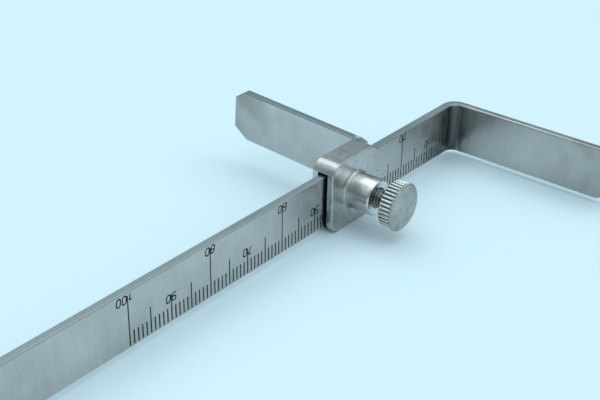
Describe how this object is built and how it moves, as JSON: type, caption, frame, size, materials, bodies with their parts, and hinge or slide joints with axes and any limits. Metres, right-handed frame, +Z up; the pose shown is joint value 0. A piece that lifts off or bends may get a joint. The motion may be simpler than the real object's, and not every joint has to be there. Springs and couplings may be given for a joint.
{
  "type": "sliding marking gauge",
  "caption": "Flat steel gauge with an engraved millimetre scale, a bent fixed jaw, and a sliding jaw clamped by a knurled thumb screw.",
  "frame": {"origin": "centre of the bounding box in plan, on the surface that the gauge stands on", "axes": "+X along the blade from the fixed jaw to the free end, +Y the way the fixed jaw points, which is the side of the scale and the screw, +Z up"},
  "size_m": [0.15, 0.076, 0.0168],
  "materials": {
    "strip_steel": "satin brushed stainless steel strip",
    "block_steel": "satin brushed stainless steel block",
    "turned_steel": "fine turned stainless steel",
    "braze_alloy": "smooth silver braze",
    "scale_filling": "matt dark filling in engraved marks",
    "pad_brass": "plain turned brass"
  },
  "bodies": {
    "blade_body": {"blade": "strip_steel", "scale_graduations": "scale_filling", "scale_numerals": "scale_filling"},
    "slider": {"slider_block": "block_steel", "sliding_jaw": "strip_steel", "jaw_braze": "braze_alloy", "threaded_boss": "turned_steel", "boss_braze": "braze_alloy"},
    "pad": {"pressure_pad": "pad_brass"},
    "screw": {"thumb_screw": "turned_steel"}
  },
  "joints": [
    {"name": "slider_slide", "type": "slide", "parent": "blade_body", "child": "slider", "axis": [1, 0, 0], "range_m": [-0.0307, 0.0683]},
    {"name": "pad_travel", "type": "slide", "parent": "slider", "child": "pad", "axis": [0, 1, 0], "range_m": [0, 0.0021]},
    {"name": "screw_turn", "type": "hinge", "parent": "pad", "child": "screw", "pos_m": [-0.0339, 0.0057, 0.0076], "axis": [0, 1, 0], "range_deg": [0, 1080]}
  ],
  "couplings": [
    {"joint": "screw_turn", "follows": "pad_travel", "rad_per_m": 8976}
  ]
}
